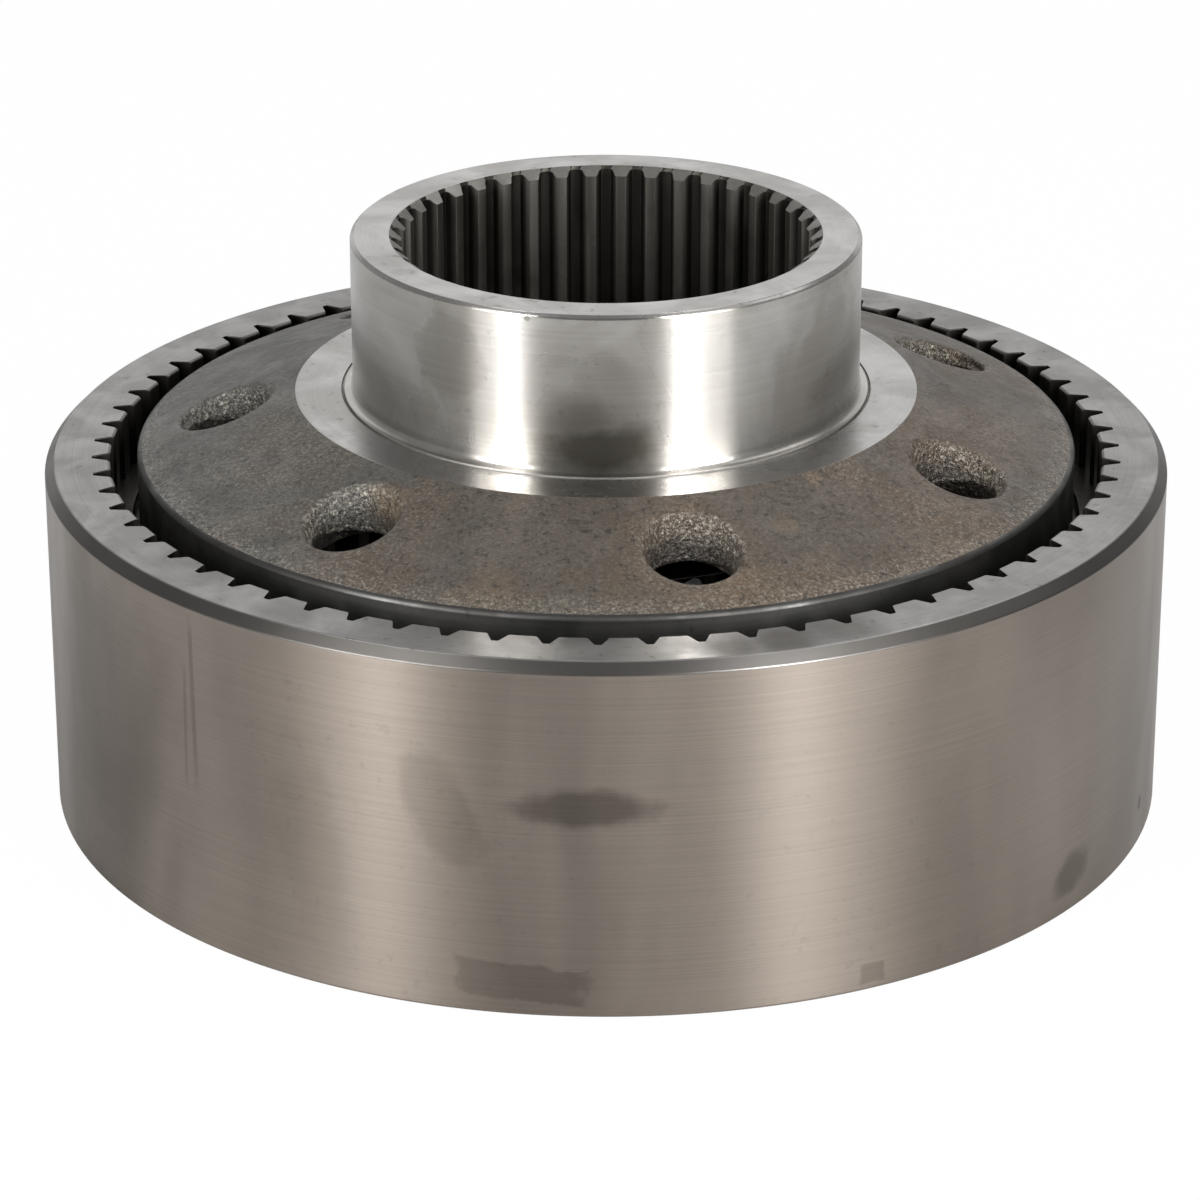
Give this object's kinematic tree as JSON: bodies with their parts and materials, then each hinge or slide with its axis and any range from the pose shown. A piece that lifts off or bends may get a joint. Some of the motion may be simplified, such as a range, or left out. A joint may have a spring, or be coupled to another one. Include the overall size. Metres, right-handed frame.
{
  "type": "internal ring gear with hub",
  "caption": "Wheel-hub ring gear: internally toothed ring, kept by a retaining ring on a conical, ported hub with a splined neck.",
  "frame": {"origin": "on the gear's axis, in the plane of the ring's lower face", "axes": "+Z along the axis, from the open side of the ring towards the end face of the neck; a spline tooth space faces +Y"},
  "size_m": [0.233, 0.233, 0.1204],
  "materials": {
    "ring_steel": "fine-turned and ground, oiled, with dark stains",
    "hub_casting": "as-cast skin with light rust; neck, shoulder disc and bore machined bright",
    "spring_steel": "blackened spring steel"
  },
  "bodies": {
    "root": {"ring_gear": "ring_steel", "ring_gear_hub": "hub_casting", "retaining_ring": "spring_steel"}
  },
  "joints": []
}
